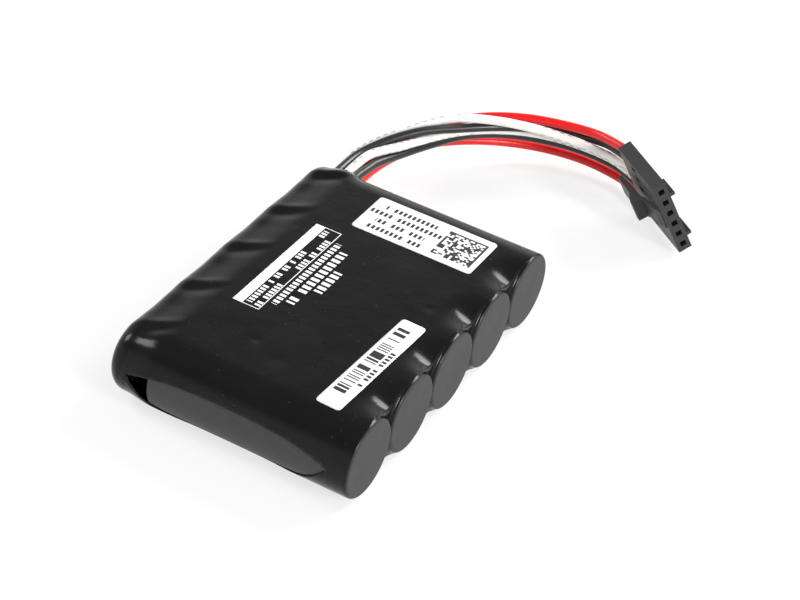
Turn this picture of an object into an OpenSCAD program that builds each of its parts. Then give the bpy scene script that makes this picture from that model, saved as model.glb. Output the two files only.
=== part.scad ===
// Capacitor backup module of a disk-array controller: five round cells side by side in a
// heat-shrink sleeve, with a balance board at their lead end and a six-wire lead.
// Millimetres. +X runs along the cells to their closed ends, +Y along the row, +Z up.
// The origin is the middle of the sleeve's footprint, on the surface that the module lies on.

/* [Cells] */
// Diameter of one aluminium can
can_d = 12.4; // [10:0.1:16]
// Length of one aluminium can
can_l = 35; // [28:0.5:45]
// Rounding of the can's closed end
can_edge_r = 1; // [0.5:0.1:1.5]
// Wall thickness of the can
can_wall = 0.3; // [0.2:0.05:0.4]
// Thickness of the thin sleeve on each can
wrap_t = 0.15; // [0.1:0.01:0.25]
// How far that sleeve folds over each end of the can
wrap_lip = 1.2; // [0.8:0.1:1.6]
// Gap between two neighbouring sleeved cans
cell_gap = 0.1; // [0.05:0.01:0.4]
// Distance of the rolled groove from the can's open end
bead_at = 2.2; // [1.8:0.1:3]
// Depth of the rolled groove
bead_depth = 0.6; // [0.3:0.05:0.8]
// Width of the curled rim that holds the end seal
rim_w = 1.4; // [1.2:0.1:1.8]
// Thickness of the rubber end seal
seal_t = 3.2; // [2.5:0.1:4.5]
// Diameter of a cell's two pins
pin_d = 0.6; // [0.4:0.05:0.8]
// Distance between a cell's two pins
pin_pitch = 5; // [3.5:0.5:6]

/* [Shrink sleeve] */
// Thickness of the outer sleeve's film
film_t = 0.2; // [0.15:0.01:0.3]
// Gap between the film and the cells
film_gap = 0.05; // [0.02:0.01:0.15]
// Gap between the film and the cells' closed ends
end_gap = 0.12; // [0.1:0.01:0.3]
// Rounding of the film over the cells' closed ends
disc_edge_r = 0.6; // [0.4:0.1:1.2]
// Rounding of the film over the lead end
lead_edge_r = 2.4; // [1.6:0.1:2.8]
// Depth that the film sinks to between the cells at their closed ends
disc_dip = 2.2; // [0.5:0.1:2.4]
// Length over which that sag fades out
disc_dip_l = 6.5; // [4:0.5:9]
// Depth that the film sinks to between the cells at the lead end
lead_dip = 0.5; // [0.2:0.1:0.7]
// Length over which that sag fades out
lead_dip_l = 8; // [5:0.5:10]
// How far the film draws in round the board
draw_in = 0.5; // [0.1:0.1:0.6]
// Length of the eye-shaped opening on each side
eye_l = 36; // [28:0.5:38]
// Height of the opening above its corners
eye_rise = 2.1; // [1:0.1:3]
// Depth of the opening below its corners
eye_drop = 6.3; // [4:0.1:6.4]
// Height of the opening's corners above the cells' axes
eye_corner = 0.7; // [0:0.1:1.5]
// Height that the lead lifts the film by where it leaves
lip_lift = 0.9; // [0.2:0.1:1.2]

/* [Balance board] */
// Room between the cells' seals and the film at the lead end
lead_room = 7.83; // [7.4:0.01:10]
// Thickness of the balance board
board_t = 1.2; // [0.8:0.1:1.6]
// Height of the balance board
board_h = 10.6; // [10.4:0.1:10.8]
// Gap between the film and the board's outer face
board_back = 1.35; // [1.2:0.05:1.6]
// Thickness of the insulating strip outside the board
strip_t = 0.25; // [0.15:0.05:0.3]
// Height of the insulating strip
strip_h = 7.4; // [6:0.1:7.4]
// How far the pins stand out of the board
pin_stub = 0.8; // [0.5:0.1:0.9]
// Length of one balance resistor
resistor_l = 6.3; // [5:0.1:6.5]
// Width of one balance resistor
resistor_w = 3.1; // [2.5:0.1:3.4]
// Thickness of one balance resistor
resistor_t = 0.6; // [0.4:0.05:1]
// Length of the memory chip's body
chip_l = 4.9; // [4:0.1:5]
// Width of the memory chip's body
chip_w = 3.9; // [3:0.1:4.4]
// Thickness of the memory chip's body
chip_t = 1.4; // [1:0.1:1.8]
// Length of one small capacitor
capacitor_l = 1.6; // [1:0.1:2]

/* [Lead] */
// Diameter of one insulated wire
wire_d = 1.6; // [1.3:0.05:1.65]
// Length of a solder joint on the board
joint_l = 2.2; // [1.5:0.1:3]

/* [Plug] */
// Distance between two contacts
way_pitch = 2.54; // [2.54:0.01:3]
// Length of the housing, from the wire side to the mating face
plug_l = 14.2; // [13:0.1:16]
// Thickness of the housing
plug_t = 2.5; // [2.5:0.05:3]
// Wall beyond the first and the last contact
plug_end_wall = 0.5; // [0.3:0.05:0.8]
// Side of the square chamber behind each contact hole
chamber_w = 2; // [1.9:0.05:2.1]
// Side of the square contact hole in the mating face
port_w = 1.05; // [0.8:0.05:1.3]
// Thickness of the mating face's wall
face_t = 1; // [0.6:0.1:1.6]
// Height of the two guide ribs
rib_h = 0.9; // [0.5:0.1:1.2]
// Thickness of a guide rib
rib_t = 0.7; // [0.5:0.1:1]
// Length of a guide rib
rib_l = 4.3; // [3:0.1:6]
// Width of the locking arm
arm_w = 4.2; // [3:0.1:5]
// Height of the locking arm's rear end above the housing
arm_h = 2.1; // [1.8:0.1:2.5]
// Thickness of the locking arm
arm_t = 0.8; // [0.6:0.05:1]
// Height of the locking tooth above the arm
tooth_h = 1; // [0.5:0.1:1.3]

/* [Labels] */
// Length of the square-code label, along the cells
code_label_l = 22.2; // [16:0.1:26]
// Width of the square-code label
code_label_w = 10; // [6:0.1:12]
// Length of the bar-code label, across the cells
bar_label_l = 24.9; // [18:0.1:30]
// Width of the bar-code label
bar_label_w = 4.3; // [3:0.1:6]
// Turn of the bar-code label on the film
bar_label_turn = -2; // [-6:0.5:6]
// Corner rounding of the labels
label_corner_r = 0.6; // [0.2:0.1:1.5]
// Thickness of the labels
label_t = 0.1; // [0.08:0.01:0.2]

/* [Hidden] */
$fn = 40;
CELLS = 5;
CELL_PIECES = ["can", "wrap", "winding", "seal", "pins"];

eps = 0.01;
fit_gap = 0.02;                            // gap round a piece that is pressed or moulded in place
can_r = can_d / 2;
wrap_r = can_r + wrap_t;
pitch = 2 * wrap_r + cell_gap;
film_r = wrap_r + film_gap + film_t;
axis_z = film_r;                           // height of the cells' axes
top_z = 2 * film_r;
first_y = -(CELLS - 1) * pitch / 2;
last_y = -first_y;
pack_l = 2 * film_t + end_gap + wrap_t + can_l + lead_room;
disc_x = pack_l / 2;                       // outside of the film over the closed ends
lead_x = -pack_l / 2;                      // outside of the film over the lead end
can_end_x = disc_x - film_t - end_gap - wrap_t;
seal_x = can_end_x - can_l;                // the cans' open ends
board_x = lead_x + film_t + board_back;    // outer face of the board
board_in_x = board_x + board_t;
board_r = board_h / 2 - 0.3;               // corner rounding of the board
board_y = last_y + 3.6;                    // half of the board's length
pin_tip_x = board_x - pin_stub;
hole_gap = 0.15;                           // gap round a pin in the board
strip_gap = 0.1;
strip_x = lead_x + film_t + strip_gap;     // outside of the insulating strip

function cell_y(k) = first_y + (k - 1) * pitch;

// A rectangle with rounded corners, about its own middle
module plate(size, r) {
    square([size.x - 2 * r, size.y], center = true);
    square([size.x, size.y - 2 * r], center = true);
    for (x = [-1, 1], y = [-1, 1])
        translate([x * (size.x / 2 - r), y * (size.y / 2 - r)])
            circle(r = r);
}

// Lays children drawn in the Y-Z plane about the pack's middle at x, to be extruded along +X
module at_x(x)
    translate([x, 0, axis_z])
        rotate([90, 0, 90])
            children();

// ---- Cells ----------------------------------------------------------------------------------

lip_t = 0.35;                              // thickness of the curled rim's inner edge
lip_r = can_r - rim_w;                     // radius inside the curled rim
seal_r = lip_r + 0.4;                      // radius of the pocket that holds the seal
groove_r = bead_depth + 0.1;               // rounding of the rolled groove
inside_at = max(seal_t, bead_at + groove_r + can_wall);
tab_room = 0.4;                            // room between the seal and the winding

// Turns a profile drawn as [radius, distance from the open end] about the axis of cell k
module on_cell(k)
    translate([seal_x, cell_y(k), axis_z])
        rotate([0, 90, 0])
            rotate_extrude($fn = 48)
                children();

// One drawn aluminium can, with the rolled groove and the curled rim at its open end
module can(k) {
    curl_r = rim_w / 2;
    color("silver")
        on_cell(k)
            difference() {
                union() {
                    translate([0, curl_r])
                        square([can_r, can_l - curl_r - can_edge_r]);
                    translate([0, curl_r])
                        square([can_r - can_edge_r, can_l - curl_r]);
                    translate([can_r - can_edge_r, can_l - can_edge_r])
                        circle(r = can_edge_r);
                    translate([can_r - curl_r, curl_r])
                        circle(r = curl_r);
                }
                square([lip_r, inside_at]);
                translate([0, lip_t])
                    square([seal_r, inside_at - lip_t]);
                translate([0, inside_at - eps])
                    square([can_r - can_wall, can_l - can_edge_r - inside_at + eps]);
                translate([0, inside_at])
                    square([can_r - can_edge_r, can_l - can_wall - inside_at]);
                translate([can_r - can_edge_r, can_l - can_edge_r])
                    circle(r = can_edge_r - can_wall);
                translate([can_r + groove_r - bead_depth, bead_at])
                    circle(r = groove_r);
            }
}

// The thin sleeve of one can: a tube that folds over both ends
module wrap(k) {
    color([0.13, 0.13, 0.14])
        on_cell(k)
            difference() {
                union() {
                    translate([can_r - wrap_lip, -wrap_t])
                        square([wrap_r - can_r + wrap_lip, can_l - can_edge_r + wrap_t]);
                    translate([can_r - wrap_lip, 0])
                        square([wrap_lip - can_edge_r, can_l + wrap_t]);
                    translate([can_r - can_edge_r, can_l - can_edge_r])
                        circle(r = can_edge_r + wrap_t);
                }
                translate([0, -fit_gap])
                    square([can_r + fit_gap, can_l - can_edge_r + fit_gap]);
                square([can_r - can_edge_r, can_l + fit_gap]);
                translate([can_r - can_edge_r, can_l - can_edge_r])
                    circle(r = can_edge_r + fit_gap);
            }
}

// The roll of electrode and separator inside one can
module winding(k) {
    gap = 0.1;
    start = inside_at + tab_room;
    color([0.2, 0.2, 0.2])
        on_cell(k)
            translate([0, start])
                square([can_r - can_wall - gap, can_l - can_edge_r - start]);
}

// The rubber end seal of one can, bored for the two pins
module seal(k) {
    color([0.1, 0.1, 0.1])
        difference() {
            on_cell(k) {
                square([lip_r - fit_gap, seal_t - fit_gap]);
                translate([0, lip_t + fit_gap])
                    square([seal_r - fit_gap, seal_t - lip_t - 2 * fit_gap]);
            }
            for (side = [-1, 1])
                translate([seal_x - eps, cell_y(k) + side * pin_pitch / 2, axis_z])
                    rotate([0, 90, 0])
                        cylinder(r = pin_d / 2 + fit_gap, h = seal_t + eps);
        }
}

// The two tinned pins of one cell, from its winding through its seal and the board
module pins(k) {
    color("lightgrey")
        for (side = [-1, 1])
            translate([pin_tip_x, cell_y(k) + side * pin_pitch / 2, axis_z])
                rotate([0, 90, 0])
                    cylinder(d = pin_d, h = seal_x + inside_at + tab_room - fit_gap - pin_tip_x);
}

// ---- Shrink sleeve --------------------------------------------------------------------------

ARC_STEPS = 7;                             // facets of a quarter round of film
LOBE_STEPS = 5;                            // facets from a cell's crest to the valley beside it
LOBE_SHARP = 3.4;                          // how closely the film keeps to the crests
CAP_ROWS = [1, 0.985, 0.94, 0.87, 0.72, 0.4, -0.4, -0.72, -0.87, -0.94, -0.985, -1];

draw_x = seal_x - wrap_t - 0.1;            // where the film starts to draw in
lip_at = 4.9;                              // distance of the stretch that the lead lifts from that end
lip_l = 4.6;                               // half of that stretch's length
lip_x = lead_x + lip_at;

function fade(t) = t >= 1 ? 0 : pow(1 - max(t, 0), 2);

// Share of the sag at y: none on a cell's crest, all of it half way to the next cell
function lobe(y) = abs(y) > last_y ? 0 : pow(abs(sin(180 * (y - first_y) / pitch)), LOBE_SHARP);

// Depth of the sag half way between two cells
function sag(x) =
    disc_dip * fade((disc_x - x) / disc_dip_l) + lead_dip * fade((x - lead_x) / lead_dip_l);

// How far a rounded edge of radius e has fallen back at distance r from the axis, for film of radius big
function fall(r, big, e) =
    let (over = max(0, r - big + e))
    over < 0.9 * e ? e - sqrt(e * e - over * over) : e * 0.564 + (over - 0.9 * e) * 1.2;

// Distance from the nearest cell's axis, and from the row's own middle plane
function disc_r(y, z) = min([for (k = [1:CELLS]) norm([y - cell_y(k), z])]);
function row_r(y, z) = norm([max(abs(y) - last_y, 0), z]);

// Place of facet edge i along the row, closer together in the valleys than on the crests
function crest_to_crest(i) = let (
    valley = 2 * floor(i / (2 * LOBE_STEPS)) + 1,
    off = i - valley * LOBE_STEPS
) first_y + pitch / 2 * (valley + sign(off) * (1 - sin(90 * (1 - abs(off) / LOBE_STEPS))));

// Points across the upper half of the film, as [y, height above the axes], left to right
function upper(big) = concat(
    [for (i = [0:ARC_STEPS]) let (a = 90 * i / ARC_STEPS) [first_y - big * cos(a), big * sin(a)]],
    [for (i = [1:2 * LOBE_STEPS * (CELLS - 1) - 1]) [crest_to_crest(i), big]],
    [for (i = [ARC_STEPS:-1:0]) let (a = 90 * i / ARC_STEPS) [last_y + big * cos(a), big * sin(a)]]
);

// Radius of film inset from the outside: full over the cells, drawn in over the board
function film_r_at(x, inset) =
    film_r - inset - draw_in * min(1, max(0, (draw_x - x) / (draw_x - board_in_x)));

// How far a point of the film is lifted by the lead where it leaves, on the upper side only
function lift(x, p) = let (
    t = abs(x - lip_x) / lip_l,
    share = p[1] / norm([p[0] - last_y, p[1]])
) p[0] <= last_y || p[1] <= 0 || t >= 1 ? 0
    : lip_lift * pow(cos(90 * t), 2) * 2 * share * sqrt(max(0, 1 - share * share));
function lifted(x, p) = p + lift(x, p) / film_r * [p[0] - last_y, p[1]];

// Where an end face is cut for its ring, and how far in any point of that face lies
function end_x(end, inset) = end == "disc" ? disc_x - inset - disc_edge_r : lead_x + inset + lead_edge_r;
function face_x(end, p, inset) = end == "disc"
    ? disc_x - inset - fall(disc_r(p[0], p[1]), film_r - inset, disc_edge_r)
    : lead_x + inset + fall(row_r(p[0], p[1]), film_r - inset - draw_in, lead_edge_r - inset);

// The film's upper outline at x, sunk between the cells
function outline(x, inset) = [for (p = upper(film_r_at(x, inset)))
    [p[0], p[1] - min(p[1], sag(x) * lobe(p[0]))]];

// One closed ring of film round the row. station is its place along X, or the name of an end
function ring(station, inset) = let (
    at_end = is_string(station),
    x = at_end ? end_x(station, inset) : station,
    low = outline(x, inset),
    high = [for (p = low) at_end ? p : lifted(x, p)],
    last = len(low) - 1
) concat(
    [for (p = high) [at_end ? face_x(station, p, inset) : x, p[0], axis_z + p[1]]],
    [for (i = [last - 1:-1:1]) let (p = low[i])
        [at_end ? face_x(station, p, inset) : x, p[0], axis_z - p[1]]]
);

// One inner row of an end face, from left to right
function cap_row(end, share, inset) = [for (p = outline(end_x(end, inset), inset))
    let (q = [p[0], share * p[1]]) [face_x(end, q, inset), q[0], axis_z + q[1]]];

// The space that the film encloses, drawn inset from its outside
module film_body(inset) {
    stations = concat(
        ["lead"],
        [for (s = [0.5, 2, 3.6]) end_x("lead", inset) + s],
        [draw_x, disc_x - disc_dip_l],
        [for (s = [3.2, 2, 1.2]) end_x("disc", inset) - s],
        ["disc"]
    );
    rings = [for (s = stations) ring(s, inset)];
    m = len(rings[0]);
    half = m / 2 + 1;
    inner_rows = [for (i = [1:len(CAP_ROWS) - 2]) CAP_ROWS[i]];
    lead_rows = [for (s = inner_rows) cap_row("lead", s, inset)];
    disc_rows = [for (s = inner_rows) cap_row("disc", s, inset)];
    lead_base = len(rings) * m;
    disc_base = lead_base + len(inner_rows) * half;
    last = (len(rings) - 1) * m;
    // index of point i on row r of an end face; the first and last rows lie on the end ring
    function on_cap(base, ring_base, r, i) =
        i == 0 || i == half - 1 || r == 0 ? ring_base + i
        : r == len(CAP_ROWS) - 1 ? ring_base + m - i
        : base + (r - 1) * half + i;
    // splits a four-sided patch, leaving out the triangles that have no area
    function patch(a, b, c, d) = concat(
        a != b && b != c && a != c ? [[a, b, c]] : [],
        a != c && c != d && a != d ? [[a, c, d]] : []
    );
    side_faces = [for (k = [0:len(rings) - 2]) for (i = [0:m - 1]) let (j = (i + 1) % m)
        each patch(k * m + i, k * m + j, (k + 1) * m + j, (k + 1) * m + i)];
    lead_faces = [for (r = [0:len(CAP_ROWS) - 2]) for (i = [0:half - 2])
        each patch(on_cap(lead_base, 0, r, i), on_cap(lead_base, 0, r + 1, i),
            on_cap(lead_base, 0, r + 1, i + 1), on_cap(lead_base, 0, r, i + 1))];
    disc_faces = [for (r = [0:len(CAP_ROWS) - 2]) for (i = [0:half - 2])
        each patch(on_cap(disc_base, last, r, i), on_cap(disc_base, last, r, i + 1),
            on_cap(disc_base, last, r + 1, i + 1), on_cap(disc_base, last, r + 1, i))];
    polyhedron(
        points = [for (rows = [rings, lead_rows, disc_rows]) for (row = rows) each row],
        faces = concat(side_faces, lead_faces, disc_faces)
    );
}

EYE_STEPS = 24;                            // facets along each edge of an opening
eye_in = 2;                                // how far outside the end cell's axis the opening's cut starts
exit_w = 6.2;                              // width of the gap in the film that the lead leaves by
exit_at = 4.2;                             // middle of that gap, from the film's lead end
exit_top = 4.3;                            // height of its upper edge above the axes

// Cuts a shape drawn in the X-Z plane through the film beyond the first or the last cell
module side_cut(side)
    translate([0, side * (last_y + eye_in + (side > 0 ? film_r : 0)), 0])
        rotate([90, 0, 0])
            linear_extrude(film_r)
                children();

// The eye shape: a blunt corner at each end, a shallow upper edge and a deep lower one
module eye_outline() {
    corner_z = axis_z + eye_corner;
    edge = [for (i = [0:EYE_STEPS]) 2 * i / EYE_STEPS - 1];
    above = [for (u = edge) [u * eye_l / 2, corner_z + eye_rise * (1 - pow(abs(u), 3.2))]];
    below = [for (u = edge) [-u * eye_l / 2, corner_z - eye_drop * (1 - pow(abs(u), 4))]];
    polygon(concat(above, [for (i = [1:EYE_STEPS - 1]) below[i]]));
}

// The outer film, shrunk over everything and open round both end cells' flanks
module shrink_sleeve() {
    color([0.15, 0.15, 0.16])
        difference() {
            film_body(0);
            film_body(film_t);
            for (side = [-1, 1])
                side_cut(side)
                    eye_outline();
            side_cut(1)
                translate([lead_x + exit_at, axis_z + eye_corner / 2 + exit_top / 2])
                    plate([exit_w, exit_top - eye_corner], 1.2);
        }
}

// ---- Balance board --------------------------------------------------------------------------

row_inset = 6.5;                           // distance of the last resistor from the board's end
row_end = board_y - row_inset;
low_z = -3.6;                              // height of the resistors, from the axes
high_z = 2.7;                              // height of the chip and the small capacitors
chip_y = cell_y(2) + pitch / 2;

// Repeats children at every pin, about its centre line, on the face of the board at x
module at_pins(x)
    for (k = [1:CELLS], side = [-1, 1])
        translate([x, cell_y(k) + side * pin_pitch / 2, axis_z])
            rotate([0, 90, 0])
                children();

module balance_board() {
    color([0.1, 0.3, 0.16])
        difference() {
            at_x(board_x)
                linear_extrude(board_t)
                    plate([2 * board_y, board_h], board_r);
            at_pins(board_x - eps)
                cylinder(r = pin_d / 2 + hole_gap, h = board_t + 2 * eps);
        }
}

// One flat chip resistor for each cell, with tinned ends
module balance_resistors() {
    end_l = 0.7;
    skin = 0.05;
    at_x(board_in_x)
        for (k = [1:CELLS])
            translate([row_end * (2 * (k - 1) / (CELLS - 1) - 1), low_z]) {
                color([0.12, 0.12, 0.12])
                    linear_extrude(resistor_t - skin)
                        square([resistor_l - 2 * end_l, resistor_w], center = true);
                for (side = [-1, 1])
                    color("silver")
                        translate([side * (resistor_l - end_l) / 2, 0])
                            linear_extrude(resistor_t)
                                square([end_l, resistor_w], center = true);
            }
}

// The chip that keeps the module's service data, on eight bent legs
module memory_chip() {
    stand_off = 0.1;
    leg_w = 0.42;
    leg_t = 0.2;
    leg_pitch = 1.27;
    reach = chip_w / 2 + 1.05;
    knee = chip_w / 2 + 0.35;
    mid = stand_off + chip_t / 2;
    leg = [
        [chip_w / 2 - 0.1, mid - leg_t / 2], [knee - leg_t, mid - leg_t / 2], [knee - leg_t / 2, 0],
        [reach, 0], [reach, leg_t], [knee + leg_t / 2, leg_t],
        [knee, mid + leg_t / 2], [chip_w / 2 - 0.1, mid + leg_t / 2],
    ];
    translate([board_in_x, chip_y, axis_z + high_z]) {
        color([0.1, 0.1, 0.1])
            translate([stand_off, -chip_w / 2, -chip_l / 2])
                cube([chip_t, chip_w, chip_l]);
        for (side = [0, 1], n = [-1.5:1.5])
            color("silver")
                mirror([0, side, 0])
                    translate([0, 0, n * leg_pitch - leg_w / 2])
                        linear_extrude(leg_w)
                            polygon([for (p = leg) [p[1], p[0]]]);
    }
}

// Three small ceramic capacitors beside the chip
module bypass_capacitors() {
    color([0.72, 0.58, 0.4])
        at_x(board_in_x)
            for (steps = [-0.5, 0.5, 1])
                translate([chip_y + steps * pitch, high_z])
                    linear_extrude(capacitor_l / 2)
                        square([capacitor_l / 2, capacitor_l], center = true);
}

// The solder fillet round every pin, on the outer face of the board
module pin_joints() {
    joint_h = pin_stub - 0.2;
    color("silver")
        difference() {
            at_pins(board_x - joint_h)
                cylinder(r1 = pin_d / 2 + 0.15, r2 = pin_d / 2 + 0.65, h = joint_h);
            at_pins(board_x - joint_h - eps)
                cylinder(r = pin_d / 2 + fit_gap, h = joint_h + 2 * eps);
        }
}

// The strip that keeps the joints from the film
module insulating_strip() {
    color([0.86, 0.8, 0.6])
        at_x(strip_x)
            linear_extrude(strip_t) {
                square([2 * last_y, strip_h], center = true);
                for (side = [-1, 1])
                    translate([side * last_y, 0])
                        circle(d = strip_h);
            }
}

// ---- Plug -----------------------------------------------------------------------------------

WAYS = 6;
PLUG_TURN = [-62, -3, -40];
PLUG_SPOT = [18.8, 63.3];                  // where the plug's first corner stands, seen from above
plug_w = (WAYS - 1) * way_pitch + chamber_w + 2 * plug_end_wall;

function about_x(v, a) = [v.x, v.y * cos(a) - v.z * sin(a), v.y * sin(a) + v.z * cos(a)];
function about_y(v, a) = [v.x * cos(a) + v.z * sin(a), v.y, v.z * cos(a) - v.x * sin(a)];
function about_z(v, a) = [v.x * cos(a) - v.y * sin(a), v.x * sin(a) + v.y * cos(a), v.z];
function turned(v, turn) = about_z(about_y(about_x(v, turn.x), turn.y), turn.z);

plug_axes = [for (v = [[1, 0, 0], [0, 1, 0], [0, 0, 1]]) turned(v, PLUG_TURN)];
plug_at = [PLUG_SPOT.x, PLUG_SPOT.y, eps - plug_w * plug_axes[1].z];
chamber_l = plug_l - face_t;
wire_in = 2.2;                             // how far a wire's insulation goes into its chamber
box_l = 6.2;                               // length of a contact's box
window_at = 4.6;                           // where the latch windows start
window_l = 1.8;

function way_y(k) = plug_end_wall + chamber_w / 2 + (k - 1) * way_pitch;

// A point given along, across and through the plug, in the pack's own frame
function plug_point(along, across, through) =
    plug_at + along * plug_axes[0] + across * plug_axes[1] + through * plug_axes[2];

// Lays children out in the plug's own frame: X to the mating face, Y down the row, Z through it
module in_plug()
    translate(plug_at)
        rotate(PLUG_TURN)
            children();

// The springy arm that locks the plug in its header, with its tooth and thumb rest
module locking_arm() {
    root = plug_l - 0.8;
    tooth_x = 7.2;
    in_wall = 0.15;
    translate([0, (plug_w + arm_w) / 2, 0])
        rotate([90, 0, 0])
            linear_extrude(arm_w)
                polygon([
                    [root, in_wall], [root, -0.2], [root - 1.4, -0.7],
                    [tooth_x + 1.8, -arm_h * 0.57], [tooth_x + 1.1, -arm_h * 0.7],
                    [tooth_x + 1, -arm_h - tooth_h], [tooth_x, -arm_h - tooth_h],
                    [tooth_x - 2.2, -arm_h - 0.1], [0, -arm_h],
                    [0, arm_t - arm_h], [tooth_x, arm_t * 0.75 - arm_h * 0.75],
                    [root - 1.4, in_wall],
                ]);
}

// The black housing: one chamber for each contact, two guide ribs and the locking arm
module plug_housing() {
    rib_y = way_y(1) + 0.6 * way_pitch;
    color([0.13, 0.13, 0.13])
        in_plug()
            difference() {
                union() {
                    cube([plug_l, plug_w, plug_t]);
                    for (y = [rib_y, plug_w - rib_y])
                        translate([plug_l - rib_l, y - rib_t / 2, 0])
                            cube([rib_l, rib_t, plug_t + rib_h]);
                    locking_arm();
                }
                for (k = [1:WAYS])
                    translate([0, way_y(k), plug_t / 2]) {
                        translate([-eps, -chamber_w / 2, -chamber_w / 2])
                            cube([chamber_l + eps, chamber_w, chamber_w]);
                        translate([0, -port_w / 2, -port_w / 2])
                            cube([plug_l + eps, port_w, port_w]);
                        translate([window_at, -chamber_w * 0.3, -plug_t / 2 - eps])
                            cube([window_l, chamber_w * 0.6, plug_t / 2]);
                    }
            }
}

// Six tinned contacts: a barrel crimped on the wire, a neck and a box that takes the pin
module plug_contacts() {
    box_w = chamber_w - 0.2;
    barrel_l = 2.8;
    start = wire_in + fit_gap;
    box_at = chamber_l - 0.2 - box_l;
    color("lightgrey")
        in_plug()
            for (k = [1:WAYS])
                translate([0, way_y(k), plug_t / 2])
                    difference() {
                        union() {
                            translate([start, 0, 0])
                                rotate([0, 90, 0])
                                    cylinder(d = box_w - 0.3, h = barrel_l);
                            translate([start + barrel_l - eps, -box_w / 4, -box_w / 4])
                                cube([box_at - start - barrel_l + 2 * eps, box_w / 2, box_w / 2]);
                            translate([box_at, -box_w / 2, -box_w / 2])
                                cube([box_l, box_w, box_w]);
                        }
                        translate([box_at + 1, -box_w / 4, -box_w / 4])
                            cube([box_l, box_w / 2, box_w / 2]);
                    }
}

// ---- Lead -----------------------------------------------------------------------------------

TUBE_SIDES = 8;
// Each wire from where it leaves the film to where it comes near the plug
RED_1 = [
    [-17.3, 31.5, 8.1], [-18.1, 38.4, 7.8], [-17.4, 45.4, 7.7], [-15.1, 52, 8.2], [-11.6, 57.9, 9.5],
    [-6.4, 62.4, 10.5], [-0.1, 65.5, 11.2], [6.7, 67.1, 11.7], [13.6, 67.2, 12.3],
];
BLACK_1 = [
    [-18.9, 31.5, 9.8], [-18.9, 38.4, 9.8], [-16.5, 44.9, 10.4], [-12.9, 50.9, 10.7], [-8.8, 56.4, 10.1],
    [-4.2, 61.7, 9.6], [1.3, 65.9, 9.4], [7.8, 68.3, 9.6], [14.7, 68.6, 10.2],
];
WHITE_1 = [
    [-18.9, 31.5, 8.1], [-20.5, 38.4, 8.3], [-18.9, 45.2, 9], [-15.2, 51.1, 10.1], [-10.6, 56.4, 11.4],
    [-4.8, 60.4, 11.5], [1.5, 63.6, 10.9], [8.1, 66.1, 9.9], [14.9, 67.6, 8.7],
];
WHITE_2 = [
    [-17.3, 31.5, 9.8], [-16.9, 38.6, 10.4], [-14.4, 45.4, 9.7], [-12.1, 52.2, 8.9], [-8.8, 58.6, 8.4],
    [-3.8, 63.8, 8.1], [2.2, 67.8, 7.5], [9, 70.1, 6.8], [16.1, 70.3, 6.3],
];
BLACK_2 = [
    [-15.6, 31.5, 9.8], [-15.6, 38.9, 9], [-14.4, 46.2, 7.7], [-12.2, 53.3, 7], [-8.8, 60, 6.8],
    [-3.8, 65.6, 6.2], [2.4, 69.6, 5.4], [9.5, 71.9, 4.7], [16.9, 71.6, 4.2],
];
RED_2 = [
    [-15.6, 31.5, 8.1], [-16.2, 39.2, 7.2], [-15.7, 46.9, 6.4], [-13.5, 54.4, 5.8], [-9.6, 61, 4.8],
    [-4.2, 66.6, 3.8], [2.3, 70.7, 2.9], [9.7, 72.8, 2.2], [17.4, 72.4, 1.6],
];
ROUTES = [RED_1, BLACK_1, WHITE_1, WHITE_2, BLACK_2, RED_2];
// Where each wire lies inside the film: its column, counted off the board, and its row, counted up
SLOTS = [[1, 0], [0, 1], [0, 0], [1, 1], [2, 1], [2, 0]];

lane = 1.65;                               // spacing of the wires inside the film
lane_run = 4.6;                            // length over which a wire moves over by one lane
board_gap = 0.1;                           // gap between the first wires and the board
wire_row_z = 1.5;                          // height of the lower row, from the axes

function lane_x(column) = board_in_x + board_gap + wire_d / 2 + column * lane;
function slot_z(k) = axis_z + wire_row_z + SLOTS[k - 1].y * lane;
// Where wire k ends on the board, further in for the columns that lie further off it
function wire_start(k) = [lane_x(0), last_y - 0.6 - 7.5 * SLOTS[k - 1].x, slot_z(k)];

// The part of wire k inside the film, from its joint to its way out
function inner_path(k) = let (column = SLOTS[k - 1].x, start = wire_start(k), z = slot_z(k)) concat(
    [start],
    [for (step = [1:1:column]) [lane_x(step), start.y + lane_run * step, z]],
    [[lane_x(column), last_y + 2.4, z]]
);

function wire_path(k) = concat(
    inner_path(k),
    ROUTES[k - 1],
    [for (along = [-eps, wire_in]) plug_point(along, way_y(k), plug_t / 2)]
);

function unit(v) = v / norm(v);

// Directions along a path of points, each the mean of the stretches that meet there
function headings(path) = let (last = len(path) - 1) [for (i = [0:last])
    i == 0 ? unit(path[1] - path[0])
    : i == last ? unit(path[last] - path[last - 1])
    : unit(unit(path[i + 1] - path[i]) + unit(path[i] - path[i - 1]))];

// A round tube swept along a path that is nowhere upright
module tube(path, d) {
    heads = headings(path);
    n = TUBE_SIDES;
    last = len(path) - 1;
    points = [for (i = [0:last])
        let (aside = unit(cross(heads[i], [0, 0, 1])), over = cross(aside, heads[i]))
        for (j = [0:n - 1])
            let (a = 360 * (j + 0.5) / n)
            path[i] + d / 2 * (cos(a) * aside + sin(a) * over)];
    walls = [for (i = [0:last - 1], j = [0:n - 1])
        let (a = i * n + j, b = i * n + (j + 1) % n)
        each [[a, a + n, b], [b, a + n, b + n]]];
    polyhedron(
        points = points,
        faces = concat([[for (j = [0:n - 1]) j]], walls, [[for (j = [n - 1:-1:0]) last * n + j]])
    );
}

module wire(k, paint)
    color(paint)
        tube(wire_path(k), wire_d);

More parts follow.
